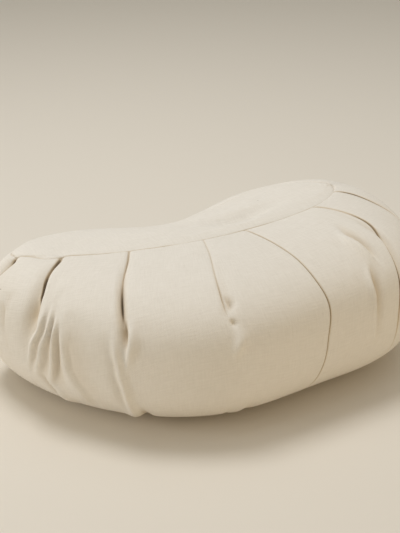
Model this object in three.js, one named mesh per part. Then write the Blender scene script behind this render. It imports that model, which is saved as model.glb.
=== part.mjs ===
// A crescent meditation cushion lying flat: one filled cotton cover, sewn from a crescent top panel, a
// pleated band in joined lengths and a crescent bottom panel. Millimetres, +Z up, its full outer side
// towards -Y.
import * as THREE from "three";

// The backbone is the line along the middle of the crescent. It bends towards +Y on both sides of the
// middle.
const LEFT_LENGTH = 214;
const RIGHT_LENGTH = 207;
const LEFT_BEND = THREE.MathUtils.degToRad(49);
const RIGHT_BEND = THREE.MathUtils.degToRad(34);

// Stations along the backbone, from the left end (-1) to the right end (1): how far the outer and the inner
// side reach from it at their widest, and how high the crest is.
const SECTIONS = [
  { at: -1.0, outer: 56, inner: 142, crest: 134 },
  { at: -0.6, outer: 118, inner: 125, crest: 138 },
  { at: -0.2, outer: 152, inner: 103, crest: 142 },
  { at: 0.2, outer: 143, inner: 124, crest: 145 },
  { at: 0.6, outer: 150, inner: 142, crest: 150 },
  { at: 1.0, outer: 110, inner: 144, crest: 154 },
];
const WIDEST_SHARE = 0.493; // the sides are widest at this share of the crest's height
const SINK_SHARE = 0.035; // the round underside would reach this share lower, had the floor not flattened it
const CREST_INSET = 45; // the crest line stops this far short of both ends

// How square each curve is: 2 is a plain ellipse, more is fuller at the corners.
const PLAN_FULLNESS = 3.04;
const OUTER_FULLNESS = 3.23;
const INNER_FULLNESS = 2.06;
const UNDER_FULLNESS = 2.95;
const UNDER_END_FULLNESS = 2.35; // at both ends of the cushion

// Where the seams run, as a share of the way from the crest line out to the widest line.
const TOP_SEAM = { outer: 0.12, inner: 0.62, left: 0.59, right: 0.07 };
const OUTER_END_POWER = 2; // how late along a side its seam starts to swing towards the one round the end
const INNER_END_POWER = 8;
const BOTTOM_SEAM = 0.62;
const SEAM_DEPTH = 2;
const SEAM_WIDTH = 2.6;

// On the left the top seam is wavy: shares of the band's height that it drops, at bearings 4 degrees apart.
const WAVE_FROM = -156;
const WAVE_TO = -128;
const SEAM_WAVE = [0, 0.02, 0.005, 0.01, 0.025, 0.035, 0.005, 0];
const WAVE_REACH = 0.12;

// The tucks of the band and the seam that joins its two lengths. Each line is given by its bearings, in
// degrees round the backbone's middle with -90 straight out, at seven stops down the band that stand closer
// near the top seam. A tuck is deepest at one share of the band's height and runs out at another.
const STOP_POWER = 0.6;
const TUCKS = [
  {
    name: "left end tuck",
    bearings: [-151.5, -149.8, -148.4, -149, -148.5, -148, -148],
    deepest: 0.08,
    ends: 0.3,
    depth: 6,
    width: 3.5,
  },
  {
    name: "left lobe tuck",
    bearings: [-133.6, -132.2, -131.5, -129.7, -129.7, -131.5, -131.5],
    deepest: 0.32,
    ends: 0.48,
    depth: 7,
    width: 3.5,
  },
  {
    name: "left front tuck",
    bearings: [-116.6, -116, -115.8, -115, -113.9, -113.2, -112.3],
    deepest: 0.32,
    ends: 0.5,
    depth: 7,
    width: 3.5,
  },
  {
    name: "middle tuck",
    bearings: [-95.1, -96.6, -98.3, -98.7, -97.9, -97.2, -97],
    deepest: 0.32,
    ends: 0.44,
    depth: 3.5,
    width: 3,
  },
  {
    name: "band joint",
    bearings: [-81.3, -79.9, -79.4, -79.6, -79.3, -81.4, -83],
    deepest: 0.5,
    ends: 1.6,
    depth: 2,
    width: 2.5,
  },
  {
    name: "right front tuck",
    bearings: [-56, -54.1, -55.2, -60.3, -63, -64, -65],
    deepest: 0.32,
    ends: 0.6,
    depth: 5.5,
    width: 3.5,
  },
  {
    name: "right end tuck",
    bearings: [-38, -37.8, -40, -41.5, -43.5, -45, -45],
    deepest: 0.18,
    ends: 0.5,
    depth: 3,
    width: 3.5,
  },
];

// Soft folds of the band, each from one bearing and share of the band's height to another. A positive rise
// is a ridge and a negative one a trough.
const FOLDS = [
  { name: "left end fold", from: [-136.8, 0.32], to: [-138.4, 0.72], rise: -3, width: 6 },
  { name: "lobe valley", from: [-131, 0.1], to: [-131.6, 0.6], rise: -5, width: 6 },
  { name: "lobe knuckle", from: [-128.4, 0.4], to: [-132, 0.63], rise: 4, width: 4 },
  { name: "fan fold one", from: [-126, 0.42], to: [-127.8, 0.68], rise: -4.5, width: 4 },
  { name: "fan fold two", from: [-125.3, 0.46], to: [-124.6, 0.64], rise: 2.5, width: 4 },
  { name: "fan fold three", from: [-123.8, 0.46], to: [-119.8, 0.78], rise: -3, width: 5 },
  { name: "hem crease", from: [-129, 0.62], to: [-123.8, 0.9], rise: -5, width: 5 },
  { name: "front valley", from: [-115.8, 0.1], to: [-114, 0.58], rise: -4, width: 5 },
  { name: "front knuckle", from: [-113, 0.4], to: [-114, 0.6], rise: 3.5, width: 4 },
  { name: "front ridge", from: [-116, 0.44], to: [-112.6, 0.88], rise: 3, width: 5 },
  { name: "front hem lobe", from: [-113.6, 0.68], to: [-113, 0.98], rise: 2.6, width: 6 },
  { name: "front hem notch", from: [-111.9, 0.7], to: [-111.4, 1], rise: -3.6, width: 4.5 },
  { name: "middle knuckle", from: [-97.4, 0.38], to: [-97.4, 0.56], rise: 3, width: 5 },
  { name: "middle hem dip", from: [-94.8, 0.7], to: [-94.8, 0.98], rise: -2, width: 5 },
  { name: "right fold ridge", from: [-64, 0.1], to: [-65.8, 0.38], rise: 3.5, width: 4.5 },
  { name: "right fold hollow", from: [-62.2, 0.08], to: [-65, 0.38], rise: -4, width: 5 },
  { name: "right panel ridge", from: [-68, 0.3], to: [-70.2, 0.66], rise: 2.5, width: 4 },
  { name: "right panel trough", from: [-67, 0.3], to: [-69.4, 0.68], rise: -4, width: 5 },
];

// The surface grid: columns round the cushion, the same number on its outer and its inner side, and rows
// down it. Rows count 0 at the crest, 1 at the top seam, 2 at the bottom seam and 3 under the middle.
const COLUMNS_A_SIDE = 92;
const ROWS = [
  0, 0.35, 0.65, 0.86, 0.95, 1, 1.012, 1.03, 1.06, 1.1, 1.15, 1.2, 1.25, 1.3, 1.35, 1.4, 1.45, 1.5, 1.55, 1.6,
  1.66, 1.72, 1.78, 1.84, 1.9, 1.96, 2, 2.06, 2.2, 2.6, 3,
];
const TUCK_CROWDING = 0.72; // beside a tuck, columns stand closer than the average by this share

const CLOTH = new THREE.MeshStandardMaterial({ color: 0xdcd2bf, roughness: 0.95, metalness: 0 });

const { clamp, lerp, degToRad, radToDeg, smoothstep } = THREE.MathUtils;
const signedPower = (x, power) => Math.sign(x) * Math.abs(x) ** power;

// A smooth curve through evenly spaced values, read at a share from 0 to 1 along them.
function smoothThrough(values, share) {
  const last = values.length - 1;
  const place = clamp(share, 0, 1) * last;
  const k = Math.min(Math.floor(place), last - 1);
  const t = place - k;
  const before = k > 0 ? values[k - 1] : 2 * values[0] - values[1];
  const after = k + 2 <= last ? values[k + 2] : 2 * values[last] - values[last - 1];
  const [p, q] = [values[k], values[k + 1]];
  const slope = (q - before) * t;
  const bow = (2 * before - 5 * p + 4 * q - after) * t ** 2;
  const twist = (3 * p - before - 3 * q + after) * t ** 3;
  return 0.5 * (2 * p + slope + bow + twist);
}

const column = (name) => SECTIONS.map((section) => section[name]);
const [OUTER, INNER, CREST] = ["outer", "inner", "crest"].map(column);

// How far the backbone has turned a given length away from its middle.
function turnAt(length) {
  const left = LEFT_BEND / LEFT_LENGTH;
  const right = RIGHT_BEND / RIGHT_LENGTH;
  return length * lerp(left, right, (length + LEFT_LENGTH) / (LEFT_LENGTH + RIGHT_LENGTH));
}

// The point of the backbone a given length away from its middle, walked in short steps.
function backbone(length) {
  const steps = 24;
  let x = 0;
  let y = 0;
  for (let k = 0; k < steps; k++) {
    const turn = turnAt((length * (k + 0.5)) / steps);
    x += (Math.cos(turn) * length) / steps;
    y += (Math.sin(turn) * length) / steps;
  }
  return [x, y];
}

// The smooth cover before its seams and folds, at a bearing in degrees and a row from 0 to 3.
function cover(bearing, row) {
  const [along, across] = [Math.cos(degToRad(bearing)), Math.sin(degToRad(bearing))];
  const squareness = Math.abs(along) ** PLAN_FULLNESS + Math.abs(across) ** PLAN_FULLNESS;
  const spread = squareness ** (-1 / PLAN_FULLNESS);
  const station = along * spread;
  const side = across * spread;
  const endness = signedPower(station, PLAN_FULLNESS / 2);
  const outerness = 0.5 - 0.5 * signedPower(side, PLAN_FULLNESS / 2);
  const share = (station + 1) / 2;
  const width = lerp(smoothThrough(INNER, share), smoothThrough(OUTER, share), outerness);

  // The angle round the cross-section: 0 at the crest, a quarter turn at the widest line, a half turn below.
  const upper = lerp(INNER_FULLNESS, OUTER_FULLNESS, outerness);
  const seamMiddle = lerp(TOP_SEAM.inner, TOP_SEAM.outer, outerness);
  const seamEnd = lerp(TOP_SEAM.left, TOP_SEAM.right, (endness + 1) / 2);
  const endPower = lerp(INNER_END_POWER, OUTER_END_POWER, outerness);
  const topSeam = Math.asin(lerp(seamMiddle, seamEnd, Math.abs(endness) ** endPower) ** (upper / 2));
  const under = lerp(UNDER_FULLNESS, UNDER_END_FULLNESS, endness ** 2);
  const bottomSeam = Math.PI - Math.asin(BOTTOM_SEAM ** (under / 2));
  const marks = [0, topSeam, bottomSeam, Math.PI];
  const k = Math.min(Math.floor(row), 2);
  const angle = lerp(marks[k], marks[k + 1], row - k);

  const below = angle > Math.PI / 2;
  const power = 2 / (below ? under : upper);
  const out = Math.abs(Math.sin(angle)) ** power;
  const rise = signedPower(Math.cos(angle), power);
  const crest = smoothThrough(CREST, share);
  const reach = below ? WIDEST_SHARE + SINK_SHARE : 1 - WIDEST_SHARE;
  const height = crest * (WIDEST_SHARE + reach * rise);

  const middle = (LEFT_LENGTH + RIGHT_LENGTH) / 2;
  const full = middle + (RIGHT_LENGTH - middle) * endness;
  const length = (full - CREST_INSET * (1 - out)) * station;
  const away = width * out * side;
  const [x, y] = backbone(length);
  const turn = turnAt(length);
  return new THREE.Vector3(x - away * Math.sin(turn), y + away * Math.cos(turn), height);
}

// The bearing of a tuck's line at a share of the band's height.
const tuckBearing = (tuck, share) => smoothThrough(tuck.bearings, share ** STOP_POWER);

// Columns follow the tucks down the band: the shift of a column is read between the tucks on both sides of
// it.
function columnShift(bearing, row) {
  if (row <= 1 || bearing > 0) return 0;
  const share = Math.min(row - 1, 1);
  const fade = row > 2 ? 3 - row : 1;
  const straight = (bearing) => ({ bearings: Array(TUCKS[0].bearings.length).fill(bearing) });
  const lines = [straight(-180), ...TUCKS, straight(0)];
  const next = lines.findIndex((line) => line.bearings[0] >= bearing);
  if (next < 1) return 0;
  const [left, right] = [lines[next - 1], lines[next]];
  const between = (bearing - left.bearings[0]) / (right.bearings[0] - left.bearings[0]);
  const shift = (line) => tuckBearing(line, share) - line.bearings[0];
  return lerp(shift(left), shift(right), between) * fade;
}

const bell = (distance, width) => Math.exp(-((distance / width) ** 2));

// How strong a tuck is at a share of the band's height: it starts half open at the seam, and runs out at
// its end.
function tuckStrength(tuck, share) {
  const opening = lerp(0.5, 1, smoothstep(share, 0, tuck.deepest));
  return opening * (1 - smoothstep(share, tuck.deepest, tuck.ends));
}

// The height of seams, tucks and folds above the smooth cover, at a bearing and row. The local size of a
// degree and of a row turns both into millimetres.
function relief(bearing, row, degree, rowSize) {
  const seams = [1, 2].map((seam) => bell((row - seam) * rowSize, SEAM_WIDTH));
  let height = -SEAM_DEPTH * Math.max(...seams);
  if (row <= 1 || row > 2.3) return height;
  const share = row - 1;
  for (const tuck of TUCKS) {
    const distance = (bearing - tuckBearing(tuck, share)) * degree;
    height -= tuck.depth * tuckStrength(tuck, share) * bell(distance, tuck.width);
  }
  for (const fold of FOLDS) {
    const [start, end] = [fold.from, fold.to];
    const way = (share - start[1]) / (end[1] - start[1]);
    if (way <= 0 || way >= 1) continue;
    const distance = (bearing - lerp(start[0], end[0], way)) * degree;
    height += fold.rise * Math.sin(Math.PI * way) ** 2 * bell(distance, fold.width);
  }
  return height;
}

// A point of the finished surface. The wavy seam takes the rows beside it along.
function surface(bearing, plainRow) {
  const [turnStep, rowStep] = [0.4, 0.01];
  const wave = smoothThrough(SEAM_WAVE, (bearing - WAVE_FROM) / (WAVE_TO - WAVE_FROM));
  const ends = plainRow === 0 || plainRow === 3;
  const row = ends ? plainRow : plainRow + wave * bell(plainRow - 1, WAVE_REACH);
  const point = cover(bearing, row);
  if (ends) return point.setZ(Math.max(point.z, 0));
  const acrossStep = cover(bearing + turnStep, row).sub(cover(bearing - turnStep, row));
  const downStep = cover(bearing, Math.min(row + rowStep, 3)).sub(cover(bearing, row - rowStep));
  const normal = downStep.clone().cross(acrossStep).normalize();
  const degree = acrossStep.length() / (2 * turnStep);
  const rowSize = downStep.length() / (2 * rowStep);
  point.addScaledVector(normal, relief(bearing, plainRow, degree, rowSize));
  return point.setZ(Math.max(point.z, 0));
}

// Read a value between the entries of two rising lists.
function interpolate(value, from, to) {
  const last = from.length - 2;
  const found = from.findIndex((entry) => entry > value) - 1;
  const k = found < 0 ? last : Math.min(found, last);
  return lerp(to[k], to[k + 1], (value - from[k]) / (from[k + 1] - from[k]));
}

// Bearings from the first mark to the last, spread evenly along the widest line but closer at each mark
// between.
function spreadColumns(marks, crowding) {
  const fine = 720;
  const last = marks.length - 1;
  const bearings = Array.from({ length: fine + 1 }, (_, k) => lerp(marks[0], marks[last], k / fine));
  const walked = [0];
  for (let k = 0; k < fine; k++) {
    walked.push(walked[k] + cover(bearings[k], 1.5).distanceTo(cover(bearings[k + 1], 1.5)));
  }
  const atMarks = marks.map((mark) => interpolate(mark, bearings, walked));
  const ends = atMarks.map((place) => Math.round((place / walked[fine]) * COLUMNS_A_SIDE));
  const places = [0];
  for (let k = 0; k < last; k++) {
    const count = ends[k + 1] - ends[k];
    for (let n = 1; n <= count; n++) {
      const t = n / count;
      const share = t - (crowding * Math.sin(2 * Math.PI * t)) / (2 * Math.PI);
      places.push(lerp(atMarks[k], atMarks[k + 1], share));
    }
  }
  return places.map((place) => interpolate(place, walked, bearings));
}

// The cushion as one closed surface. The outer and the inner side share their points along the crest and
// along the middle of the underside, where each inner column meets the outer column across from it.
function cushionGeometry() {
  const outer = spreadColumns([-180, ...TUCKS.map((tuck) => tuck.bearings[0]), 0], TUCK_CROWDING);
  const inner = spreadColumns([0, 180], 0);
  const bearings = [...outer, ...inner.slice(1, -1)];
  const count = bearings.length;
  const opposite = (i) => (count - i) % count;
  const shared = (i) => {
    const near = Math.min(i, opposite(i));
    return (bearings[near] - inner[COLUMNS_A_SIDE - near]) / 2;
  };
  const points = [];
  const indexOf = ROWS.map((row) => {
    const closing = row === 0 || row === 3;
    return bearings.map((bearing, i) => {
      if (closing && i > opposite(i) && opposite(i) !== 0) return -opposite(i);
      const side = i <= COLUMNS_A_SIDE ? 1 : -1;
      const closeness = Math.max(1 - row, row - 2, 0);
      const even = lerp(bearing, side * shared(i), closeness);
      points.push(...surface(even + columnShift(even, row), row).toArray());
      return points.length / 3 - 1;
    });
  });
  for (const row of indexOf) {
    row.forEach((index, i) => {
      if (index < 0) row[i] = row[-index];
    });
  }
  const faces = [];
  for (let j = 0; j + 1 < ROWS.length; j++) {
    for (let i = 0; i < count; i++) {
      const next = (i + 1) % count;
      const [a, b, c, d] = [indexOf[j][i], indexOf[j + 1][i], indexOf[j][next], indexOf[j + 1][next]];
      if (a !== c) faces.push(a, b, c);
      if (b !== d) faces.push(c, b, d);
    }
  }
  const geometry = new THREE.BufferGeometry();
  geometry.setAttribute("position", new THREE.Float32BufferAttribute(points, 3));
  geometry.setIndex(faces);
  return geometry;
}

// The origin is the middle of the cushion's footprint, on the surface that it rests on.
const geometry = cushionGeometry();
geometry.computeBoundingBox();
const centre = geometry.boundingBox.getCenter(new THREE.Vector3());
geometry.translate(-centre.x, -centre.y, 0);
geometry.computeVertexNormals();

const cushion = new THREE.Mesh(geometry, CLOTH);
cushion.name = "cushion";

const part = new THREE.Group();
part.add(cushion);

export default part;
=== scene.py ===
# %% [markdown]
# # A crescent meditation cushion
# The object is a floor cushion of undyed cotton, filled tight with loose hulls. A maker cuts a crescent
# top panel, a tall band in two lengths and a crescent bottom panel. The band is longer than the panels'
# edges, so it is laid into tucks along the seam and bulges far out below it. This lesson builds the cover
# as one closed surface, puts the tucks and folds into it, lets a cloth simulation pull the cloth tight
# over them, and weaves a cotton material.

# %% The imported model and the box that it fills
import bpy
import numpy as np
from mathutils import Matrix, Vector


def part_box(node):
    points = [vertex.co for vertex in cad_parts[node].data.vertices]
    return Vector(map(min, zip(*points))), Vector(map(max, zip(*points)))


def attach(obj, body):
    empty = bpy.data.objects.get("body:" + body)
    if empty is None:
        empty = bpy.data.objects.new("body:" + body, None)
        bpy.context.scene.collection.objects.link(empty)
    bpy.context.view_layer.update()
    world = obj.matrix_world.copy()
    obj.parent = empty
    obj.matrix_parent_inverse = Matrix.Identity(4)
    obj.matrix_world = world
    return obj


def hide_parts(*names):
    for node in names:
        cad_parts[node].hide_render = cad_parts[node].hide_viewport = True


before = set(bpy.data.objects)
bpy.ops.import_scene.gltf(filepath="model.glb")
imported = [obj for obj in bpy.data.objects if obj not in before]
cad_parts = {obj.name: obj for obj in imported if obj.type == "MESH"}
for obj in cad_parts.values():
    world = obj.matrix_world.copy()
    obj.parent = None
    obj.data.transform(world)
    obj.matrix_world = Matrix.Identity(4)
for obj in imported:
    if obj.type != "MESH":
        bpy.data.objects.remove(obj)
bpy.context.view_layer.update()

# %% [markdown]
# ## The camera
# A camera is a point, a direction and a focal length. Here it looks down on the cushion from the front
# left, from a little over a metre away. The focal length comes from how large the cushion stands in a
# picture 533 pixels high. A low angle would hide the top panel, and a shorter lens from closer by would
# make the near end look too large.

# %% Camera
PICTURE_HEIGHT_PIXELS = 533
FOCAL_PIXELS = 1042.5
SENSOR_MM = 36
CAMERA_AZIMUTH = np.radians(-24.2)
CAMERA_ELEVATION = np.radians(24.3)
CAMERA_DISTANCE = 1.1054
CAMERA_TARGET = Vector((0.0127, 0.0620, 0.0756))

away = Vector((
    np.sin(CAMERA_AZIMUTH) * np.cos(CAMERA_ELEVATION),
    -np.cos(CAMERA_AZIMUTH) * np.cos(CAMERA_ELEVATION),
    np.sin(CAMERA_ELEVATION),
))
camera_data = bpy.data.cameras.new("camera")
camera_data.sensor_fit = "VERTICAL"
camera_data.sensor_height = SENSOR_MM
camera_data.lens = FOCAL_PIXELS / PICTURE_HEIGHT_PIXELS * SENSOR_MM
camera = bpy.data.objects.new("camera", camera_data)
camera.location = CAMERA_TARGET + away * CAMERA_DISTANCE
camera.rotation_euler = away.to_track_quat("Z", "Y").to_euler()
bpy.context.scene.collection.objects.link(camera)
bpy.context.scene.camera = camera
print("the lens is", round(camera_data.lens, 1), "mm")

# %% [markdown]
# ## The smooth cover
# Without its seams the cushion is a swollen crescent. It could be sculpted, or lofted through drawn
# sections. A formula is shorter and stays smooth everywhere: a bent backbone runs along the middle, and
# at each place on it the cross-section is a rounded box whose widths come from a short table. Two
# parameters name every point. The bearing is the direction from the middle, in degrees, with -90 straight
# out at the full outer side. The row counts down the cover: 0 at the crest, 1 at the top seam, 2 at the
# bottom seam and 3 at the middle of the underside.

# %% Sizes of the smooth cover, in metres
LEFT_LENGTH, RIGHT_LENGTH = 0.214, 0.207
LEFT_BEND, RIGHT_BEND = np.radians(49), np.radians(34)
OUTER_REACH = [0.056, 0.118, 0.152, 0.143, 0.150, 0.110]
INNER_REACH = [0.142, 0.125, 0.103, 0.124, 0.142, 0.144]
CREST_HEIGHT = [0.134, 0.138, 0.142, 0.145, 0.150, 0.154]
WIDEST_SHARE = 0.493
SINK_SHARE = 0.035
CREST_INSET = 0.045
PLAN_FULLNESS, OUTER_FULLNESS, INNER_FULLNESS = 3.04, 3.23, 2.06
UNDER_FULLNESS, UNDER_END_FULLNESS = 2.95, 2.35
TOP_SEAM_OUTER, TOP_SEAM_INNER, TOP_SEAM_LEFT, TOP_SEAM_RIGHT = 0.12, 0.62, 0.59, 0.07
OUTER_END_POWER, INNER_END_POWER = 2, 8
BOTTOM_SEAM = 0.62


# %% The smooth cover as a function of bearing and row
def lerp(a, b, t):
    return a + (b - a) * t


def signed_power(x, power):
    return np.sign(x) * np.abs(x) ** power


def smooth_step(x, low, high):
    """0 below low, 1 above high, and 3t2 - 2t3 between them."""
    t = np.clip((x - low) / (high - low), 0, 1)
    return t * t * (3 - 2 * t)


def smooth_through(values, share):
    """A Catmull-Rom curve: a cubic for each stretch, its end slopes half the step between neighbours."""
    values = np.asarray(values, float)
    padded = np.concatenate([[2 * values[0] - values[1]], values, [2 * values[-1] - values[-2]]])
    place = np.clip(share, 0, 1) * (len(values) - 1)
    k = np.minimum(place.astype(int), len(values) - 2)
    t = place - k
    before, p, q, after = padded[k], padded[k + 1], padded[k + 2], padded[k + 3]
    bow = (2 * before - 5 * p + 4 * q - after) * t**2
    twist = (3 * p - before - 3 * q + after) * t**3
    return 0.5 * (2 * p + (q - before) * t + bow + twist)


def turn_at(length):
    """The backbone's turn: its length from the middle times a bend that changes evenly from left to right."""
    left, right = LEFT_BEND / LEFT_LENGTH, RIGHT_BEND / RIGHT_LENGTH
    return length * lerp(left, right, (length + LEFT_LENGTH) / (LEFT_LENGTH + RIGHT_LENGTH))


def backbone(length, steps=24):
    """The backbone's point: the sum of short steps, each in the direction of the turn at its middle."""
    x = sum(np.cos(turn_at(length * (k + 0.5) / steps)) for k in range(steps)) * length / steps
    y = sum(np.sin(turn_at(length * (k + 0.5) / steps)) for k in range(steps)) * length / steps
    return x, y


def cover(bearing, row):
    """Points of the smooth cover, as arrays of x, y and z.

    The bearing gives a place on a rounded square: how far along the backbone, and how far to its side. The
    row gives an angle round the cross-section, from 0 at the crest through a quarter turn at the widest line
    to a half turn underneath. Powers of its sine and cosine round the section's corners.
    """
    along, across = np.cos(np.radians(bearing)), np.sin(np.radians(bearing))
    spread = (np.abs(along) ** PLAN_FULLNESS + np.abs(across) ** PLAN_FULLNESS) ** (-1 / PLAN_FULLNESS)
    station, side = along * spread, across * spread
    endness = signed_power(station, PLAN_FULLNESS / 2)
    outerness = 0.5 - 0.5 * signed_power(side, PLAN_FULLNESS / 2)
    share = (station + 1) / 2
    width = lerp(smooth_through(INNER_REACH, share), smooth_through(OUTER_REACH, share), outerness)

    upper = lerp(INNER_FULLNESS, OUTER_FULLNESS, outerness)
    seam_middle = lerp(TOP_SEAM_INNER, TOP_SEAM_OUTER, outerness)
    seam_end = lerp(TOP_SEAM_LEFT, TOP_SEAM_RIGHT, (endness + 1) / 2)
    end_power = lerp(INNER_END_POWER, OUTER_END_POWER, outerness)
    top_seam = np.arcsin(lerp(seam_middle, seam_end, np.abs(endness) ** end_power) ** (upper / 2))
    under = lerp(UNDER_FULLNESS, UNDER_END_FULLNESS, endness**2)
    bottom_seam = np.pi - np.arcsin(BOTTOM_SEAM ** (under / 2))
    panel_angle = top_seam * row
    band_angle = lerp(top_seam, bottom_seam, row - 1)
    under_angle = lerp(bottom_seam, np.pi, row - 2)
    angle = np.where(row < 1, panel_angle, np.where(row < 2, band_angle, under_angle))

    below = angle > np.pi / 2
    power = 2 / np.where(below, under, upper)
    out = np.abs(np.sin(angle)) ** power
    rise = signed_power(np.cos(angle), power)
    reach = np.where(below, WIDEST_SHARE + SINK_SHARE, 1 - WIDEST_SHARE)
    height = smooth_through(CREST_HEIGHT, share) * (WIDEST_SHARE + reach * rise)

    middle = (LEFT_LENGTH + RIGHT_LENGTH) / 2
    full = middle + (RIGHT_LENGTH - middle) * endness
    length = (full - CREST_INSET * (1 - out)) * station
    beside = width * out * side
    x, y = backbone(length)
    turn = turn_at(length)
    return np.stack([x - beside * np.sin(turn), y + beside * np.cos(turn), height], axis=-1)


# %% [markdown]
# ## Tucks and folds
# Where the band is gathered, its spare cloth is pinched under in tucks. Each one is a tight slit at the
# seam that opens further down and ends in a soft pocket, and small folds fan out from where it ends. They
# are read off the cushion one by one, because no two of them are alike: a line of bearings down the band,
# and how deep, how wide and how lopsided the fold is. A sculptor would do the same by hand. A simulation
# of the sewing would place them by chance. One of the lines is no tuck but the plain joint where two
# lengths of band meet.

# %% Tucks: bearings in degrees, depth, width and lean in millimetres, and the shade painted into the slit
# Seven stops run down the band, closer together near the top seam: at 0, 5, 16, 31, 51, 74 and 100 percent
# of it. The shade is painted shade that darkens the slit's colour. A depth or a shade below zero lets the
# curve reach zero sooner. A shade over one widens the painted shade, so the slit looks wider. The lean is how
# far to the right of the slit's bottom the painted shade's darkest line lies.
STOP_POWER = 0.6
TUCKS = {
    "left_end": {
        "bearing": [-151.5, -149.8, -148.4, -149.0, -148.5, -148.0, -148.0],
        "depth": [2.0, 6.0, 5.0, 1.0, 0, 0, 0],
        "shade": [0, 1.1, 0.5, 0, 0, 0, 0],
        "width": 1.2,
        "lean": -0.5,
    },
    "left_lobe": {
        "bearing": [-133.6, -132.2, -131.5, -129.7, -129.7, -131.5, -131.5],
        "depth": [2.5, 4.0, 4.0, 6.0, -4.0, 0, 0],
        "shade": [0.3, 1.0, 0.8, 1.9, -2.0, 0, 0],
        "width": 1.3,
        "lean": -1.0,
    },
    "left_front": {
        "bearing": [-116.6, -116.0, -115.8, -115.0, -113.9, -113.2, -112.3],
        "depth": [2.0, 3.0, 3.0, 7.0, -4.0, 0, 0],
        "shade": [0.4, 0.6, 0.5, 0.95, -0.5, 0, 0],
        "width": 1.1,
        "lean": -0.1,
    },
    "middle": {
        "bearing": [-95.1, -96.6, -98.3, -98.7, -97.9, -97.2, -97.0],
        "depth": [0.8, 1.0, 1.2, 1.8, -2.4, 0, 0],
        "shade": [0.3, 0.3, 0.4, 0.5, -1.3, 0, 0],
        "width": 0.9,
        "lean": 0,
    },
    "joint": {
        "bearing": [-81.3, -79.9, -79.4, -79.6, -79.3, -81.4, -83.0],
        "depth": [1.4, 1.4, 1.4, 1.4, 1.6, 1.4, 1.0],
        "shade": [0.7, 0.8, 0.75, 0.8, 0.9, 0.75, 0.5],
        "width": 0.7,
        "lean": 0,
    },
    "right_front": {
        "bearing": [-56.0, -54.1, -55.2, -60.3, -63.0, -64.0, -65.0],
        "depth": [1.4, 1.6, 3.0, 5.0, 3.0, 0.5, 0],
        "shade": [0.6, 0.45, 0.8, 0.75, 0.9, 0.1, 0],
        "width": 0.9,
        "lean": 0.7,
    },
    "right_end": {
        "bearing": [-38.0, -37.8, -40.0, -41.5, -43.5, -45.0, -45.0],
        "depth": [0.6, 1.4, 1.6, 1.4, 0.6, 0, 0],
        "shade": [0.2, 0.9, 0.8, 0.5, 0.2, 0, 0],
        "width": 0.9,
        "lean": 0.6,
    },
}


def at_stops(values, share):
    """A smooth curve through a tuck's seven values, read at a share of the band's height."""
    return smooth_through(values, np.clip(share, 0, 1) ** STOP_POWER)


# %% [markdown]
# ## The grid of the cover
# The mesh is a grid: columns go round the cushion, rows go down it. A slit barely a millimetre wide needs
# a column exactly along it and more close beside it, so the columns follow the tucks down the band and
# crowd at them. A plain even grid would need ten times as many faces for the same slits.

# %% The top seam's own wave on the left, as shares of the band's height at bearings 4 degrees apart
WAVE_FROM, WAVE_TO = -156, -128
SEAM_WAVE = [0, 0.020, 0.005, 0.010, 0.025, 0.035, 0.005, 0]
WAVE_REACH = 0.12


# %% Where columns crowd
CROWDS = [
    # bearing, reach in degrees, how many more columns
    (-126, 6, 2.2),
    (-113, 4, 0.8),
    (-97.5, 3, 0.8),
    (-66, 6, 0.8),
]


# %% The grid of the cover
SAMPLES = 1441
MIDDLE_ROW = 1.5


def bell(distance, left, right=None):
    """exp(-(d/w)2), with one width on the left side of the line and another on the right."""
    width = np.where(distance < 0, left, left if right is None else right)
    return np.exp(-((distance / width) ** 2))


def even_shares(count):
    return np.linspace(0, 1, count + 1)


def crowded(count, crowding):
    """Shares from 0 to 1 that stand closer at both ends: t minus a share of a sine wave over one turn."""
    t = even_shares(count)
    return t - crowding * np.sin(2 * np.pi * t) / (2 * np.pi)


def density(bearing):
    """How much closer the columns stand: more so where small folds fan out from a tuck."""
    return 1 + sum(extra * bell(bearing - middle, reach) for middle, reach, extra in CROWDS)


def spread_columns(marks, count, crowding):
    """Bearings from the first to the last mark, spaced by the density and crowded at each mark."""
    samples = np.linspace(marks[0], marks[-1], SAMPLES)
    points = cover(samples, np.full_like(samples, MIDDLE_ROW))
    steps = np.linalg.norm(np.diff(points, axis=0), axis=1) * density((samples[:-1] + samples[1:]) / 2)
    walked = np.concatenate([[0], np.cumsum(steps)])
    at_marks = np.interp(marks, samples, walked)
    ends = np.round(at_marks / walked[-1] * count).astype(int)
    places = [0.0]
    for k in range(len(marks) - 1):
        shares = crowded(ends[k + 1] - ends[k], crowding)[1:]
        places.extend(lerp(at_marks[k], at_marks[k + 1], shares))
    return np.interp(places, walked, samples)


def column_shift(bearing, row):
    """How far a column has moved sideways at a row to follow the tucks, read between the two beside it."""
    lines = [[-180.0] * 7, *[tuck["bearing"] for tuck in TUCKS.values()], [0.0] * 7]
    starts = [line[0] for line in lines]
    shifts = [at_stops(line, row - 1) - line[0] for line in lines]
    total = np.zeros(np.broadcast(bearing, row).shape)
    for k in range(len(lines) - 1):
        inside = (bearing >= starts[k]) & (bearing < starts[k + 1])
        between = (bearing - starts[k]) / (starts[k + 1] - starts[k])
        total = np.where(inside, lerp(shifts[k], shifts[k + 1], between), total)
    fade = np.where(row > 2, 3 - row, 1)
    return np.where((row > 1) & (bearing < 0), total * fade, 0)


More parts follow.
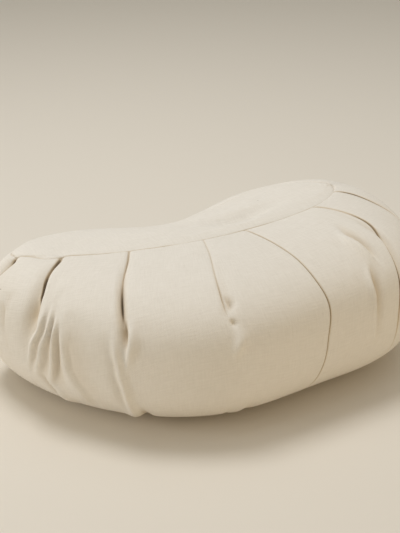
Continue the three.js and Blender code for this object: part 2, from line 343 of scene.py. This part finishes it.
class Grid:
    """A grid over the cover. Columns run once round it, and rows run from the crest to underneath."""

    def __init__(self, columns_a_side, rows, crowding):
        outer_marks = [-180, *[tuck["bearing"][0] for tuck in TUCKS.values()], 0]
        outer = spread_columns(outer_marks, columns_a_side, crowding)
        inner = spread_columns([0, 180], columns_a_side, 0)
        self.around = np.concatenate([outer, inner[1:-1]])
        self.columns, self.rows = len(self.around), np.asarray(rows, float)
        index = np.arange(self.columns)
        self.opposite = (self.columns - index) % self.columns
        near = np.minimum(index, self.opposite)
        shared = (self.around[near] - inner[columns_a_side - near]) / 2
        side = np.where(index <= columns_a_side, 1, -1)
        closeness = np.maximum(np.maximum(1 - self.rows, self.rows - 2), 0)[:, None]
        even = lerp(self.around[None, :], (side * shared)[None, :], closeness)
        self.row = np.repeat(self.rows[:, None], self.columns, axis=1)
        self.share = self.row - 1
        self.bearing = even + column_shift(even, self.row)
        wave = smooth_through(SEAM_WAVE, (self.bearing - WAVE_FROM) / (WAVE_TO - WAVE_FROM))
        self.place = self.row + wave * bell(self.row - 1, WAVE_REACH)
        self.points = cover(self.bearing, self.place)
        self.measure()

    def measure(self, turn_step=0.3, row_step=0.004):
        """The outward direction, and the metres in a degree and in a row, by small steps both ways."""
        row_up, row_down = np.maximum(self.place - row_step, 0), np.minimum(self.place + row_step, 3)
        across = cover(self.bearing + turn_step, self.place) - cover(self.bearing - turn_step, self.place)
        down = cover(self.bearing, row_down) - cover(self.bearing, row_up)
        normal = np.cross(down, across)
        normal[self.rows == 0] = (0, 0, 1)
        normal[self.rows == 3] = (0, 0, -1)
        self.normal = normal / np.linalg.norm(normal, axis=-1, keepdims=True)
        self.degree = np.linalg.norm(across, axis=-1) / (2 * turn_step)
        self.row_size = np.linalg.norm(down, axis=-1) / (row_down - row_up)

    def vertex_numbers(self):
        """One number for each grid point, the same for the two that meet on the crest or under the middle."""
        numbers = np.arange(self.row.size).reshape(self.row.shape)
        for end in (0, -1):
            numbers[end] = np.minimum(numbers[end], numbers[end][self.opposite])
        used, packed = np.unique(numbers, return_inverse=True)
        return used, packed.reshape(numbers.shape)


# %% [markdown]
# ## Relief
# A fold's cross-section is a bell that may be steeper on one side. Along the fold it swells from nothing
# to its peak and runs out again. A tuck adds a slit: a much narrower bell with a pointed bottom, which
# goes dark because light hardly reaches into it. Where small folds lie close together in a fan, bells
# would flatten each other, so the fan is a set of lines with heights, and the cloth eases from one line
# to the next. All of it is added along the outward direction. A displacement picture painted by hand
# could hold the same relief, but not follow the cloth round the undercut at the hem.

# %% Folds down the band
FOLDS = [
    # name, bearings of its line, shares of the band there, where along it it peaks,
    # then in millimetres: rise, width to the left, width to the right
    ("left end pocket", [-152, -148.8, -148.8], [0, 0.1, 0.32], 0.3, -3.5, 6, 5),
    ("lobe valley", [-133.8, -131.8, -130.4, -130.2, -132.2], [0, 0.14, 0.33, 0.46, 0.6], 0.7, -5.5, 7, 4.5),
    ("lobe shoulder", [-131.8, -130.3, -128.2], [0.04, 0.16, 0.34], 0.6, 0.8, 3, 6),
    ("front valley", [-116.6, -115.8, -114.6, -114], [0, 0.16, 0.36, 0.56], 0.62, -4.5, 4, 4),
    ("left end crease", [-136.9, -139.2, -139.4, -136.4], [0.3, 0.45, 0.56, 0.68], 0.5, -3.2, 2, 4),
    ("hem crease", [-129.2, -127, -125.4, -123.8], [0.66, 0.72, 0.78, 0.88], 0.45, -7.5, 7, 3),
    ("hem crease lip", [-128.6, -126.3, -124.6, -123], [0.66, 0.71, 0.78, 0.88], 0.45, 4.5, 2, 5),
    ("thin ridge", [-122.6, -120.9, -119.6], [0.62, 0.7, 0.8], 0.5, 2, 1.8, 4),
    ("front pocket", [-114.3, -113.9, -113.8], [0.36, 0.45, 0.56], 0.5, -6.5, 3.5, 2),
    ("front pocket lip", [-113.4, -113, -113.2, -113.8], [0.36, 0.47, 0.54, 0.62], 0.6, 4.6, 2.4, 6),
    ("front ridge", [-115.9, -115, -114, -112.6], [0.42, 0.56, 0.62, 0.86], 0.4, 4.5, 3.2, 4.5),
    ("front ridge trough", [-116.6, -115.8, -114.8, -113.4], [0.48, 0.57, 0.64, 0.84], 0.5, -1.6, 5, 2),
    ("middle dimple", [-98, -97.6, -97.9], [0.26, 0.31, 0.36], 0.5, -4.5, 2.2, 3),
    ("middle second dimple", [-98.2, -97.8, -97.6], [0.38, 0.41, 0.44], 0.5, -3.2, 2.5, 2.5),
    ("middle knuckle", [-97.6, -97.1, -97.8], [0.42, 0.49, 0.57], 0.6, 4.5, 5, 5),
    ("hem lobe", [-113.6, -113.2, -113], [0.66, 0.8, 0.98], 0.6, 2.6, 8, 4.5),
    ("hem notch", [-111.9, -111.7, -111.4], [0.7, 0.82, 1], 0.5, -3.6, 3, 6),
    ("middle valley", [-96, -98, -98.6], [0.05, 0.25, 0.4], 0.8, -1.4, 4, 5),
    ("middle hem bump", [-96.8, -96.6, -96.6], [0.7, 0.82, 0.98], 0.5, 0.6, 6, 5),
    ("middle hem notch", [-98.4, -98.2, -98], [0.72, 0.82, 0.98], 0.5, -0.8, 3, 3),
    ("middle hem dip", [-94.6, -94.8, -94.8], [0.7, 0.82, 0.98], 0.5, -1.2, 3, 6),
    ("joint shoulder", [-80.6, -80.3, -80.2, -83.4], [0.02, 0.3, 0.56, 0.98], 0.5, 0.7, 6, 2),
    ("right fold ridge", [-63.2, -65.2, -65.7, -65.8], [0.1, 0.16, 0.25, 0.38], 0.45, 5, 5, 3),
    ("right fold hollow", [-61.8, -63.4, -64.4, -65], [0.08, 0.16, 0.26, 0.36], 0.45, -6.5, 3, 6),
    ("right panel ridge", [-67.6, -69.4, -69.8, -69.8], [0.3, 0.4, 0.5, 0.64], 0.45, 3.6, 4, 2),
    ("right panel trough", [-66.6, -68.2, -68.9, -69.2], [0.3, 0.4, 0.52, 0.66], 0.45, -7, 2, 5),
    ("right front valley", [-55, -57.5, -61.4, -62.6], [0, 0.22, 0.42, 0.58], 0.5, -3, 4, 5),
    ("right end valley", [-38, -41, -43], [0, 0.22, 0.46], 0.5, -1.4, 4, 5),
]

# %% The fan of small folds under the left lobe's tuck, with each line's bearings and heights at these shares
FAN_SHARES = [0.34, 0.40, 0.46, 0.52, 0.58, 0.64, 0.71, 0.80]
FAN = [
    # name, bearings, heights in millimetres
    ("left edge", [-133.5, -133.5, -133.5, -133.6, -134.2, -134.2, -134, -134],
     [0, 0, 0, 0, 0, 0, 0, 0]),
    ("valley", [-129.9, -129.6, -129.6, -129.6, -131.2, -132.2, -132.4, -132.4],
     [0, -1.4, -2.6, -3, -1.2, 0, 0, 0]),
    ("ridge one", [-128, -127.6, -127.7, -128.2, -129.9, -131.4, -131.8, -131.8],
     [0, 1, 2.6, 3.2, 3, 0.4, 0, 0]),
    ("trough one", [-127.2, -126.9, -127.1, -127.6, -129.1, -130.4, -130.9, -130.9],
     [0, -0.4, -1.2, -1.6, -2.2, -1.2, 0, 0]),
    ("ridge two", [-126.4, -126.1, -126.1, -126.4, -127.9, -129.2, -130, -130],
     [0, 1, 2.4, 2.8, 2.4, 1.4, 0, 0]),
    ("trough two", [-125.9, -125.7, -125.8, -126.2, -126.8, -127.7, -128.4, -128.8],
     [0, -0.4, -2.2, -3, -3.4, -2.8, -0.6, 0]),
    ("ridge three", [-125.1, -124.9, -124.9, -125.2, -125.4, -126, -126.8, -127.2],
     [0, 0, 1.4, 2.6, 2.6, 1, 0, 0]),
    ("trough three", [-124.5, -124.4, -124.4, -124.6, -124.8, -125.2, -125.6, -126],
     [0, 0, -0.4, -2.4, -3.8, -3.8, -1.4, 0]),
    ("ridge four", [-123.9, -123.9, -123.9, -123.7, -123.4, -122.4, -121.2, -120.2],
     [0, 0, 0.4, 1.4, 2, 1.8, 1.4, 0]),
    ("trough four", [-122.3, -122.2, -122.1, -122.1, -122.3, -121.3, -119.9, -118.9],
     [0, 0, -0.8, -2, -2.6, -2.2, -1, 0]),
    ("right edge", [-119.4, -119, -118.6, -118.2, -117.8, -116.8, -115.8, -115],
     [0, 0, 0, 0, 0, 0, 0, 0]),
]

# %% Folds that run round the cushion
RING_FOLDS = [
    # name, bearings of its line, rows there, where along it it peaks,
    # then in millimetres: rise, width towards the crest, width outwards
    ("crest hollow", [50, 60, 68, 76, 84, 92, 104], [0.12, 0.13, 0.14, 0.12, 0.17, 0.26, 0.33],
     0.5, -7.5, 10, 13),
    ("right tip pucker", [-36, -24, -12], [0.96, 0.9, 0.94], 0.5, -1.2, 4, 3),
]
SEAM_GROOVE, SEAM_WIDTH = 0.0013, 0.0008
SEAM_SHOULDER, SHOULDER_WIDTH = 0.0007, 0.0040
LAST_FOLD_ROW = 2.2


# %% Shade painted into the colour of the seams, slits and hollows
PAINTED_SEAM_SHADES = [
    # bearing, painted shade along the seam's line
    (-180, 0.2), (-152, 0.2), (-147, 0.45), (-140, 0.35), (-137, 0.1), (-134, 0.4), (-131, 0.6),
    (-122, 0.75), (-119, 0.3), (-115, 0.5), (-107, 0.6), (-102, 0.1), (-97, 0.1), (-94.5, 0.35),
    (-88, 0.2), (-81, 0.6), (-74, 0.4), (-69, 0.08), (-62, 0.2), (-56, 0.3), (-50, 0.05), (-40, 0.05),
    (-36, 0.1), (0, 0.1), (180, 0.2),
]
PAINTED_SEAM_SHADE_WIDTH = 0.0009
LEAST_SHADE_WIDTH, MORE_SHADE_WIDTH = 0.6, 0.5
HOLLOW_DEPTH, PAINTED_HOLLOW_SHADE = 0.007, 0.45


# %% Relief of the seams, tucks and folds
def slit(distance, width):
    """exp(-|d|/w): a valley with a pointed bottom."""
    return np.exp(-np.abs(distance) / width)


def swell(way, peak):
    """0 at the start, 1 at the peak and 0 at the end, eased in and out."""
    return smooth_step(way, 0, peak) * (1 - smooth_step(way, peak, 1))


def along_line(crosswise, stops, place):
    """How far along its line a fold is at a place, from 0 to 1, and the line's other coordinate there."""
    way = np.clip((place - stops[0]) / (stops[-1] - stops[0]), 0, 1)
    return way, smooth_through(crosswise, np.interp(place, stops, even_shares(len(stops) - 1)))


def fold_relief(grid, bearings, shares, peak, rise, left, right):
    """A fold's height: its rise times its swelling along the line times the bell of the distance from it."""
    way, bearing = along_line(bearings, shares, grid.share)
    distance = (grid.bearing - bearing) * grid.degree
    return rise / 1000 * swell(way, peak) * bell(distance, left / 1000, right / 1000)


def fan_relief(grid):
    """The fan's height: from each of its lines to the next it eases over by 3t2 - 2t3."""
    place = np.interp(grid.share, FAN_SHARES, even_shares(len(FAN_SHARES) - 1))
    lines = [[smooth_through(values, place) for values in line[1:]] for line in FAN]
    total = np.zeros_like(place)
    for (left, left_height), (right, right_height) in zip(lines, lines[1:]):
        inside = (grid.bearing >= left) & (grid.bearing < right)
        eased = lerp(left_height, right_height, smooth_step(grid.bearing, left, right))
        total = np.where(inside, eased, total)
    return total / 1000


def ring_relief(grid, bearings, rows, peak, rise, up, out):
    """The same for a fold that runs round the cushion: its line gives a row for each bearing."""
    way, row = along_line(rows, bearings, grid.bearing)
    distance = (grid.row - row) * grid.row_size
    return rise / 1000 * swell(way, peak) * bell(distance, up / 1000, out / 1000)


def tuck_distance(grid, tuck):
    return (grid.bearing - at_stops(tuck["bearing"], grid.share)) * grid.degree


def tuck_relief(grid, tuck):
    """A tuck's slit: minus its depth at this share of the band, times the slit's cross-section."""
    depth = np.maximum(at_stops(tuck["depth"], grid.share), 0) / 1000
    return -depth * slit(tuck_distance(grid, tuck), tuck["width"] / 1000)


def seam_distance(grid):
    return np.minimum(np.abs(grid.row - 1), np.abs(grid.row - 2)) * grid.row_size


def seam_relief(grid):
    """Both seams: a narrow slit between rounded shoulders."""
    distance = seam_distance(grid)
    return -SEAM_GROOVE * slit(distance, SEAM_WIDTH) - SEAM_SHOULDER * bell(distance, SHOULDER_WIDTH)


def on_band(grid):
    return (grid.row > 1) & (grid.row <= LAST_FOLD_ROW) & (grid.bearing < 0)


def soft_folds(grid):
    return fan_relief(grid) + sum(fold_relief(grid, *fold[1:]) for fold in FOLDS)


def relief(grid):
    """All of it in metres, outwards."""
    tucks = sum(tuck_relief(grid, tuck) for tuck in TUCKS.values())
    rings = sum(ring_relief(grid, *fold[1:]) for fold in RING_FOLDS)
    return seam_relief(grid) + np.where(on_band(grid), tucks + soft_folds(grid), 0) + rings


def painted_crease_shade(grid):
    """Painted shade from 0 to 1: how deep a point lies in a seam, a slit or a hollow, the darkest of them."""
    seam = np.interp(grid.bearing, *np.array(PAINTED_SEAM_SHADES).T) * bell(seam_distance(grid), PAINTED_SEAM_SHADE_WIDTH)
    tucks = []
    for tuck in TUCKS.values():
        shade = np.maximum(at_stops(tuck["shade"], grid.share), 0)
        width = tuck["width"] / 1000 * (LEAST_SHADE_WIDTH + MORE_SHADE_WIDTH * shade)
        tucks.append(shade * bell(tuck_distance(grid, tuck) - tuck["lean"] / 1000, width))
    # Painted shade in the soft hollows between the folds
    hollows = np.minimum(-soft_folds(grid) / HOLLOW_DEPTH, 1) * PAINTED_HOLLOW_SHADE
    darkest = np.maximum(np.max(tucks, axis=0), hollows)
    return np.clip(np.maximum(seam, np.where(on_band(grid), darkest, 0)), 0, 1)


# %% [markdown]
# ## Putting a surface into a mesh
# A grid is quickly a mesh: each cell is one face, and on the crest and under the middle the two sides
# share their points, so the cover is one closed skin with no hole and no double wall. The weave needs to
# know how the cloth was cut, so each face corner also gets its place on the flat pattern piece, in
# metres.

# %% A closed mesh of a grid
def mesh_object(name, grid, points):
    """The grid's cells as quads, facing out, with the middle of the cover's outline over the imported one's."""
    used, numbers = grid.vertex_numbers()
    corners = points.reshape(-1, 3)[used]
    low, high = corners.min(axis=0), corners.max(axis=0)
    packed_low, packed_high = (np.array(corner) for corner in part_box("cushion"))
    corners = corners + (packed_low + packed_high - low - high) / 2 * (1, 1, 0)
    here, below = numbers[:-1], numbers[1:]
    quads = np.stack([here, below, np.roll(below, -1, axis=1), np.roll(here, -1, axis=1)], axis=-1)
    mesh = bpy.data.meshes.new(name)
    mesh.from_pydata(corners.tolist(), [], quads.reshape(-1, 4).tolist())
    mesh.update()
    mesh.shade_smooth()
    made = bpy.data.objects.new(name, mesh)
    bpy.context.scene.collection.objects.link(made)
    return made


def corner_values(values, next_column):
    """Values at the four corners of each quad. The next column of the last one may differ from the first."""
    right = np.concatenate([values[:, 1:], next_column[:, None]], axis=1)
    return np.stack([values[:-1], values[1:], right[1:], right[:-1]], axis=2)


def pattern_places(grid, points):
    """Each corner's place on its pattern piece: x and y on the panels, the way round and down on the band."""
    panel = corner_values(points[..., :2], points[:, 0, :2])
    level = np.argmin(np.abs(grid.rows - MIDDLE_ROW))
    ring = np.concatenate([grid.points[level], grid.points[level][:1]])
    walked = np.concatenate([[0], np.cumsum(np.linalg.norm(np.diff(ring, axis=0), axis=1))])
    step_down = np.linalg.norm(np.diff(grid.points, axis=0), axis=-1)
    down = np.concatenate([np.zeros((1, grid.columns)), np.cumsum(step_down, axis=0)])
    down = down - down[np.argmin(np.abs(grid.rows - 1))]
    band = np.stack([np.broadcast_to(walked[:-1], down.shape), down], axis=-1)
    seam_side = np.stack([np.full(len(grid.rows), walked[-1]), down[:, 0]], axis=-1)
    on_side = (grid.rows[:-1] >= 1) & (grid.rows[:-1] < 2)
    return np.where(on_side[:, None, None, None], corner_values(band, seam_side), panel)


# %% [markdown]
# ## Pulling the cloth tight
# The folds above are drawn one by one, and the cloth between them is still too smooth to be true. A cloth
# simulation adds what cannot be drawn: a coarse copy of the cover, with a little more cloth in its band
# than the seams allow, is blown up for twenty steps while its seams and tucks stay pinned. Only its small
# wrinkles are kept. The large swelling is taken out again, because the cushion's own outline is already
# right.

# %% Sizes for the simulation
SIM_COLUMNS_A_SIDE = 150
SIM_ROWS = np.concatenate([even_shares(14), 1 + even_shares(60)[1:], 2 + even_shares(10)[1:]])
SIM_STEPS = 20
PRESSURE = 4
SPARE_CLOTH = 0.04
CLOTH = {
    "quality": 6,
    "mass": 0.3,
    "tension_stiffness": 15,
    "compression_stiffness": 10,
    "shear_stiffness": 5,
    "bending_stiffness": 0.1,
    "vertex_group_mass": "sewn",
    "vertex_group_shrink": "spare",
    "shrink_min": 0,
    "shrink_max": -SPARE_CLOTH,
    "use_pressure": True,
    "uniform_pressure_force": PRESSURE,
}
SEWN_ROWS = 0.01
SLIT_REACH, SLIT_HOLD = 0.004, 0.6
SMOOTHING_ROUNDS = 60
SPREADING_ROUNDS = 2
LARGEST_WRINKLE = 0.0025
WRINKLES_FROM, WRINKLES_TO = (0.05, 0.3), (2.0, 2.1)


# %% Simulate, and keep the small wrinkles
def averaged(values, rounds):
    """Each value becomes a mean of itself and its neighbours, round after round. The columns wrap round."""
    for _ in range(rounds):
        values = (np.roll(values, 1, axis=1) + 2 * values + np.roll(values, -1, axis=1)) / 4
        padded = np.concatenate([values[:1], values, values[-1:]])
        values = (padded[:-2] + 2 * values + padded[2:]) / 4
    return values


def add_weights(piece, name, weights):
    group = piece.vertex_groups.new(name=name)
    for weight in np.unique(weights):
        group.add(np.flatnonzero(weights == weight).tolist(), float(weight), "REPLACE")


def wrinkles(grid, points):
    """How far the simulation moves each point outwards, less the average of its surroundings."""
    piece = mesh_object("settling_cloth", grid, points)
    used, numbers = grid.vertex_numbers()
    slits = np.max([slit(tuck_distance(grid, tuck), SLIT_REACH) for tuck in TUCKS.values()], axis=0)
    held = SLIT_HOLD * (slits > 0.5) * on_band(grid)
    sewn = np.where((np.abs(grid.row - 1) < SEWN_ROWS) | (grid.row >= 2), 1, held)
    spare = np.where((grid.row > 1) & (grid.row < 2), 1.0, 0.0)
    add_weights(piece, "sewn", sewn.reshape(-1)[used])
    add_weights(piece, "spare", spare.reshape(-1)[used])
    cloth = piece.modifiers.new("cloth", "CLOTH")
    for setting, value in CLOTH.items():
        setattr(cloth.settings, setting, value)
    cloth.settings.effector_weights.gravity = 0
    cloth.collision_settings.use_collision = False
    cloth.point_cache.frame_end = SIM_STEPS
    start = np.empty(3 * len(used))
    piece.data.vertices.foreach_get("co", start)
    for step in range(1, SIM_STEPS + 1):
        bpy.context.scene.frame_set(step)
    settled = piece.evaluated_get(bpy.context.evaluated_depsgraph_get())
    end = np.empty(3 * len(used))
    settled.data.vertices.foreach_get("co", end)
    bpy.context.scene.frame_set(1)
    mesh = piece.data
    bpy.data.objects.remove(piece)
    bpy.data.meshes.remove(mesh)
    moved = (end - start).reshape(-1, 3)[numbers]
    outwards = (moved * grid.normal).sum(axis=-1)
    print("the cloth moved by", round(float(np.abs(outwards).max()) * 1000, 2), "mm at most")
    return outwards - averaged(outwards, SMOOTHING_ROUNDS)


def spread_to(values, coarse, fine):
    """A coarse grid's values at a fine grid's points: between the four nearest, then averaged a little."""
    turn = np.append(coarse.around, 180)
    wrapped = np.concatenate([values, values[:, :1]], axis=1)
    column = np.interp(fine.around, turn, np.arange(len(turn)))
    row = np.interp(fine.rows, coarse.rows, np.arange(len(coarse.rows)))
    left = np.minimum(column.astype(int), len(turn) - 2)
    upper = np.minimum(row.astype(int), len(coarse.rows) - 2)
    beside = lerp(wrapped[:, left], wrapped[:, left + 1], column - left)
    between = lerp(beside[upper], beside[upper + 1], (row - upper)[:, None])
    return averaged(between, SPREADING_ROUNDS)


# %% Build the fine cover
COLUMNS_A_SIDE = 330
COLUMN_CROWDING = 0.72
PANEL_ROWS, BAND_ROWS, HEM_ROWS, UNDER_ROWS = 23, 105, 5, 16
ROW_POWER, BAND_POWER = 1.7, 1.45
HEM_SHARE = 0.03
ROWS = np.concatenate([
    1 - (1 - even_shares(PANEL_ROWS)) ** ROW_POWER,
    1 + (1 - HEM_SHARE) * even_shares(BAND_ROWS)[1:] ** BAND_POWER,
    2 - HEM_SHARE * (1 - even_shares(HEM_ROWS)[1:]) ** ROW_POWER,
    2 + even_shares(UNDER_ROWS)[1:] ** ROW_POWER,
])

fine = Grid(COLUMNS_A_SIDE, ROWS, COLUMN_CROWDING)
print("the grid has", fine.columns, "columns and", len(fine.rows), "rows")
height = relief(fine)
coarse = Grid(SIM_COLUMNS_A_SIDE, SIM_ROWS, 0)
found = wrinkles(coarse, coarse.points + coarse.normal * relief(coarse)[..., None])
extra = np.clip(spread_to(found, coarse, fine), -LARGEST_WRINKLE, LARGEST_WRINKLE)
print("the wrinkles are", round(float(extra.std()) * 1000, 3), "mm high on average")
fade = smooth_step(fine.row, *WRINKLES_FROM) * (1 - smooth_step(fine.row, *WRINKLES_TO))
height = height + extra * fade
surface = fine.points + fine.normal * height[..., None]
surface[..., 2] = np.maximum(surface[..., 2], 0)

cushion_cover = mesh_object("cushion_cover", fine, surface)
pattern = cushion_cover.data.uv_layers.new(name="cloth")
pattern.data.foreach_set("uv", pattern_places(fine, surface).reshape(-1))
# The crease attribute carries the painted shade of the seams, slits and hollows into the material.
crease = cushion_cover.data.attributes.new("crease", "FLOAT", "POINT")
crease.data.foreach_set("value", painted_crease_shade(fine).reshape(-1)[fine.vertex_numbers()[0]])
print("the cover has", len(cushion_cover.data.polygons), "faces")


# %% [markdown]
# ## Shader maths in plain Python
# A material is a network of nodes, and a network of small Math nodes soon hides what it works out. Here
# one class stands for a wire, and adding or multiplying wires adds the nodes, so a formula reads as a
# formula. Every other node comes from one method.

# %% Wires and nodes
class Wire:
    """An output socket. Arithmetic on it adds Math nodes, and gives the wire of the last one."""

    def __init__(self, shader, socket):
        self.shader, self.socket = shader, socket

    def math(self, operation, *values):
        return self.shader.node("ShaderNodeMath", {"operation": operation}, dict(enumerate(values)))

    def __add__(self, other):
        return self.math("ADD", self, other)

    def __radd__(self, other):
        return self.math("ADD", other, self)

    def __sub__(self, other):
        return self.math("SUBTRACT", self, other)

    def __rsub__(self, other):
        return self.math("SUBTRACT", other, self)

    def __mul__(self, other):
        return self.math("MULTIPLY", self, other)

    def __rmul__(self, other):
        return self.math("MULTIPLY", other, self)

    def __lt__(self, other):
        return self.math("LESS_THAN", self, other)

    def __gt__(self, other):
        return self.math("GREATER_THAN", self, other)

    def sine(self):
        return self.math("SINE", self)


class Shader:
    """A material under construction."""

    def __init__(self, name):
        self.material = bpy.data.materials.new(name)
        self.material.use_nodes = True
        self.tree = self.material.node_tree
        self.surface = self.tree.nodes["Principled BSDF"]

    def plug(self, socket, value):
        if isinstance(value, Wire):
            self.tree.links.new(value.socket, socket)
        else:
            socket.default_value = value

    def node(self, kind, settings, inputs, output=0):
        """Add a node, give it its settings, then its sockets' values or wires, and return one output."""
        made = self.tree.nodes.new(kind)
        for setting, value in settings.items():
            setattr(made, setting, value)
        for socket, value in inputs.items():
            self.plug(made.inputs[socket], value)
        return Wire(self, made.outputs[output])

    def noise(self, vector, scale, detail, seed):
        """A noise between 0 and 1. The seed moves it to another part of the pattern."""
        place = {"Vector": vector, "Location": (seed, 1.7 * seed, 0), "Scale": scale}
        moved = self.node("ShaderNodeMapping", {}, place)
        settings = {"noise_dimensions": "3D"}
        return self.node("ShaderNodeTexNoise", settings, {"Vector": moved, "Scale": 1, "Detail": detail})

    def mixed(self, factor, first, second):
        """The first colour where the factor is 0, the second where it is 1."""
        return self.node("ShaderNodeMix", {"data_type": "RGBA"}, {0: factor, 6: first, 7: second}, output=2)


# %% [markdown]
# ## Undyed cotton
# The cover is plain-woven cotton with slightly uneven yarns: threads a little thicker than their
# neighbours run along both directions, a few seed flecks are left in, and the colour is that of
# unbleached fibre. A picture of cloth would be quick, but a formula on the pattern piece's own
# coordinates stays sharp at any size. Inside the seams and slits, shade is painted into the colour,
# darker and browner, since light only arrives there after many bounces off other cloth. In the soft
# hollows beside them a little warmer shade is painted in, for the same reason.

# %% Cotton
CLOTH_COLOUR = (0.862, 0.800, 0.700, 1)
THICK_YARN_COLOUR = (0.755, 0.690, 0.588, 1)
FLECK_COLOUR = (0.36, 0.28, 0.19, 1)
# Colours and strengths of the shade painted into the hollows, seams and slits
PAINTED_HOLLOW_SHADE_COLOUR = (0.60, 0.47, 0.30, 1)
PAINTED_CREASE_SHADE_COLOUR = (0.10, 0.065, 0.035, 1)
PAINTED_HOLLOW_SHADE_TINT, PAINTED_CREASE_SHADE_FROM, PAINTED_CREASE_SHADE_TINT = 1.5, 0.45, 1.7
YARN_PITCH = 0.0009
YARN_MM, SLUB_MM = 0.05, 0.44
SLUBS_A_METRE, SLUB_ENDS_A_METRE, MOTTLES_A_METRE = 620, 70, 28
YARN_CONTRAST, YARN_START = 2.2, 0.6
YARN_SHARE, MOTTLE_SHARE = 0.7, 0.3
FLECKS_A_METRE, FLECK_SIZE, FLECKS_LEFT_OUT, FLECK_STRENGTH = 26, 0.026, 0.55, 0.6

cotton = Shader("undyed_cotton")
place = cotton.node("ShaderNodeUVMap", {"uv_map": "cloth"}, {})
split = cotton.node("ShaderNodeSeparateXYZ", {}, {0: place})
across = split
down = Wire(cotton, split.socket.node.outputs[1])
weave = (across * (np.pi / YARN_PITCH)).sine() * (down * (np.pi / YARN_PITCH)).sine()
warp_slubs = cotton.noise(place, (SLUBS_A_METRE, SLUB_ENDS_A_METRE, 1), detail=2, seed=3)
weft_slubs = cotton.noise(place, (SLUB_ENDS_A_METRE, SLUBS_A_METRE, 1), detail=2, seed=11)
mottle = cotton.noise(place, (MOTTLES_A_METRE, MOTTLES_A_METRE, 1), detail=3, seed=5)
yarns = warp_slubs * 0.5 + weft_slubs * 0.5
thickness = yarns * YARN_CONTRAST - YARN_START

cells = cotton.node("ShaderNodeTexVoronoi", {}, {"Vector": place, "Scale": FLECKS_A_METRE, "Randomness": 1})
cell_colour = Wire(cotton, cells.socket.node.outputs["Color"])
chosen = cotton.node("ShaderNodeSeparateColor", {}, {0: cell_colour})
flecks = (cells < FLECK_SIZE) * (chosen > FLECKS_LEFT_OUT)

base = cotton.mixed(thickness * YARN_SHARE + mottle * MOTTLE_SHARE, THICK_YARN_COLOUR, CLOTH_COLOUR)
base = cotton.mixed(flecks * FLECK_STRENGTH, base, FLECK_COLOUR)
# Painted shade: the crease attribute turns the colour warmer in hollows and dark brown in seams and slits.
depth = cotton.node("ShaderNodeAttribute", {"attribute_name": "crease"}, {}, output=2)
base = cotton.mixed(depth * PAINTED_HOLLOW_SHADE_TINT, base, PAINTED_HOLLOW_SHADE_COLOUR)
base = cotton.mixed((depth - PAINTED_CREASE_SHADE_FROM) * PAINTED_CREASE_SHADE_TINT, base, PAINTED_CREASE_SHADE_COLOUR)
bump = cotton.node("ShaderNodeBump", {}, {
    "Strength": 1.0,
    "Distance": 0.001,
    "Height": weave * YARN_MM + yarns * SLUB_MM,
})
cotton.plug(cotton.surface.inputs["Base Color"], base)
cotton.plug(cotton.surface.inputs["Normal"], bump)
cotton.plug(cotton.surface.inputs["Roughness"], 0.9)
cotton.plug(cotton.surface.inputs["Specular IOR Level"], 0.2)
cotton.plug(cotton.surface.inputs["Sheen Weight"], 0.08)
cotton.plug(cotton.surface.inputs["Sheen Roughness"], 0.6)
cushion_cover.data.materials.append(cotton.material)
print("the cotton has", len(cotton.tree.nodes), "nodes")

# %% [markdown]
# ## Floor and light
# The floor is a wide, pale, matt sheet. The light is a studio's: an even, pale room all round and four
# round lamps. The key lamp hangs above and a little behind the cushion, so the top panel is the brightest
# and the shadow falls to the front. A wide ceiling lamp softens that shadow. A side lamp reaches the left
# end, and a low, warm lamp in front stands in for the bounce off a warm floor. A single hard lamp would
# cut the soft shadow that shows how full the cushion is.

# %% Floor and light
FLOOR_REACH = 8
FLOOR_COLOUR = (0.78, 0.71, 0.60, 1)
ROOM_COLOUR, ROOM_STRENGTH = (1.0, 0.98, 0.91, 1), 0.37
LAMPS = [
    # name, place, target, diameter, watts, colour
    ("key", (-0.2, 0.5, 2.15), (0, 0, 0.05), 0.8, 18.2, (0.98, 1.0, 1.05)),
    ("ceiling", (0.3, 0.4, 2.4), (0, 0, 0), 2.2, 7, (0.98, 1.0, 1.05)),
    ("side", (-1.6, 0.2, 0.5), (0, 0, 0.05), 0.8, 6.5, (1.0, 1.0, 1.0)),
    ("fill", (0.7, -1.6, 0.12), (0, 0, 0.05), 1.0, 6.6, (1.0, 0.78, 0.48)),
]

corners = [(-FLOOR_REACH, -FLOOR_REACH, 0), (FLOOR_REACH, -FLOOR_REACH, 0), (FLOOR_REACH, FLOOR_REACH, 0)]
floor_mesh = bpy.data.meshes.new("floor")
floor_mesh.from_pydata([*corners, (-FLOOR_REACH, FLOOR_REACH, 0)], [], [(0, 1, 2, 3)])
floor = bpy.data.objects.new("floor", floor_mesh)
bpy.context.scene.collection.objects.link(floor)
paint = Shader("floor_paint")
paint.plug(paint.surface.inputs["Base Color"], FLOOR_COLOUR)
paint.plug(paint.surface.inputs["Roughness"], 0.8)
floor_mesh.materials.append(paint.material)

world = bpy.data.worlds.new("studio")
bpy.context.scene.world = world
world.use_nodes = True
world.node_tree.nodes["Background"].inputs["Color"].default_value = ROOM_COLOUR
world.node_tree.nodes["Background"].inputs["Strength"].default_value = ROOM_STRENGTH


def area_light(name, place, target, size, power, colour):
    """A round lamp at a place, turned so that it shines towards the target."""
    data = bpy.data.lights.new(name, "AREA")
    data.shape = "DISK"
    data.size = size
    data.energy = power
    data.color = colour
    made = bpy.data.objects.new(name, data)
    made.location = place
    made.rotation_euler = (Vector(place) - Vector(target)).to_track_quat("Z", "Y").to_euler()
    bpy.context.scene.collection.objects.link(made)
    return made


for lamp in LAMPS:
    area_light(*lamp)
bpy.context.scene.view_settings.view_transform = "Standard"
print("the lights are", [light.name for light in bpy.data.lights])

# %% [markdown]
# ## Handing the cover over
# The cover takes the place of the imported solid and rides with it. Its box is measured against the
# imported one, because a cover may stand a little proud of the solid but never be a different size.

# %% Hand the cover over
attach(cushion_cover, "root")
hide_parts("cushion")
